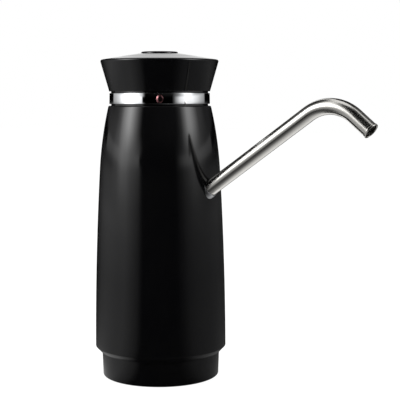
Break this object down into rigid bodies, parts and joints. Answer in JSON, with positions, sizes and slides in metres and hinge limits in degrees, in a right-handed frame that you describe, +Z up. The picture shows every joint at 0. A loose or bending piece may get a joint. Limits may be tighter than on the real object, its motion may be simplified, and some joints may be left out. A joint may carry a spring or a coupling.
{
  "type": "water bottle pump",
  "caption": "Upright barrel-shaped electric pump that sits on the neck of a large water bottle, with a flared head, push-button, bright band and bent swivelling spout.",
  "frame": {"origin": "centre of the mouth of the neck socket, in the plane of the collar's foot", "axes": "+Z up along the barrel, +X the way the spout leans out, +Y to the left of the spout seen from behind it"},
  "size_m": [0.1848, 0.08, 0.1976],
  "materials": {
    "black_shell": "high gloss",
    "chrome": "polished plating",
    "stainless": "polished",
    "bezel": "satin",
    "lens": "clear, unlit",
    "seal_rubber": "moulded",
    "hose_silicone": "milky",
    "water_plastic": "moulded",
    "frame_plastic": "moulded",
    "board": "coated laminate",
    "steel": "zinc plated",
    "brass": "turned",
    "magnet": "sintered",
    "battery": "shrink sleeve",
    "led": "clear resin",
    "lead_sheath": "extruded"
  },
  "bodies": {
    "body": {"body_shell": "black_shell", "head_shell": "black_shell", "top_panel": "black_shell", "base_collar": "black_shell", "chrome_band": "chrome", "indicator_bezel": "bezel", "indicator_lens": "lens", "neck_gasket": "seal_rubber", "rim_seal": "seal_rubber", "intake_seal": "seal_rubber", "shaft_seal": "seal_rubber", "outlet_hose": "hose_silicone", "bulkhead": "water_plastic", "intake_nozzle": "water_plastic", "pump_cover": "water_plastic", "pump_housing": "water_plastic", "spout_socket": "water_plastic", "gland_cap": "water_plastic", "spout_ferrule": "steel", "chassis": "frame_plastic", "head_deck": "frame_plastic", "motor_end_cap": "frame_plastic", "switch_body": "frame_plastic", "control_chips": "frame_plastic", "control_board": "board", "charge_board": "board", "led_board": "board", "switch_board": "board", "base_screws": "steel", "pump_screws": "steel", "motor_screws": "steel", "socket_screws": "steel", "chassis_screws": "steel", "board_screws": "steel", "head_screws": "steel", "deck_screws": "steel", "motor_can": "steel", "idler_pin": "steel", "charge_socket": "steel", "motor_bushes": "brass", "battery_contacts": "brass", "motor_magnets": "magnet", "battery_cell": "battery", "indicator_led": "led", "motor_leads": "lead_sheath", "battery_leads": "lead_sheath", "switch_lead": "lead_sheath"},
    "gland": {"spout_gland": "seal_rubber"},
    "spout": {"spout_tube": "stainless"},
    "button": {"power_button": "black_shell", "switch_plunger": "frame_plastic"},
    "drive": {"drive_gear": "water_plastic", "motor_shaft": "steel", "motor_armature": "steel"},
    "idler": {"idler_gear": "water_plastic"}
  },
  "joints": [
    {"name": "spout_turn", "type": "hinge", "parent": "body", "child": "gland", "pos_m": [0, 0, 0.0912], "axis": [0.83, 0, 0.5577], "continuous": true},
    {"name": "spout_pull", "type": "slide", "parent": "gland", "child": "spout", "axis": [0.83, 0, 0.5577], "range_m": [0, 0.006]},
    {"name": "button_press", "type": "slide", "parent": "body", "child": "button", "axis": [0, 0, -1], "range_m": [0, 0.001], "stiffness_N_per_m": 1500, "springref_m": -0.0004},
    {"name": "drive_spin", "type": "hinge", "parent": "body", "child": "drive", "pos_m": [0.0058, 0.0054, 0.05], "axis": [0, 0, 1], "continuous": true},
    {"name": "idler_spin", "type": "hinge", "parent": "body", "child": "idler", "pos_m": [0.0058, -0.0054, 0.05], "axis": [0, 0, 1], "continuous": true}
  ],
  "couplings": [
    {"joint": "idler_spin", "follows": "drive_spin", "ratio": -1}
  ]
}
